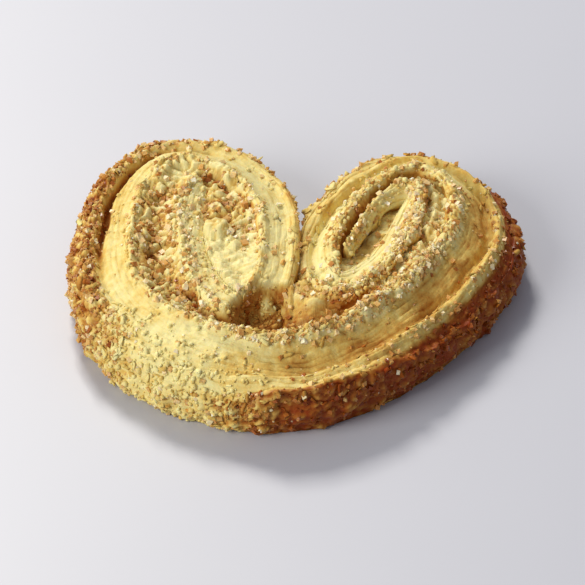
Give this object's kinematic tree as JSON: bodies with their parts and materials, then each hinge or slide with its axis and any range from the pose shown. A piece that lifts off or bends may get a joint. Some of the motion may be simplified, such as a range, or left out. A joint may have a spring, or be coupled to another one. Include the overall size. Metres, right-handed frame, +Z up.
{
  "type": "palmier biscuit",
  "caption": "Heart-shaped slice of sugared, rolled puff pastry, with two scrolls that open from a deep pocket above the foot.",
  "frame": {"origin": "middle of the face the biscuit rests on", "axes": "+X across the two lobes, +Y from the foot of the heart to the notch, +Z up through the slice"},
  "size_m": [0.0636, 0.056, 0.0116],
  "materials": {
    "baked_pastry": "baked puff pastry, matt and flaky, pale gold on the cut face and brown where sugar has caramelised",
    "sugar": "coarse sugar grains, partly melted, pale to amber, with a wet-looking gloss"
  },
  "bodies": {
    "root": {"palmier": "baked_pastry"}
  },
  "joints": []
}
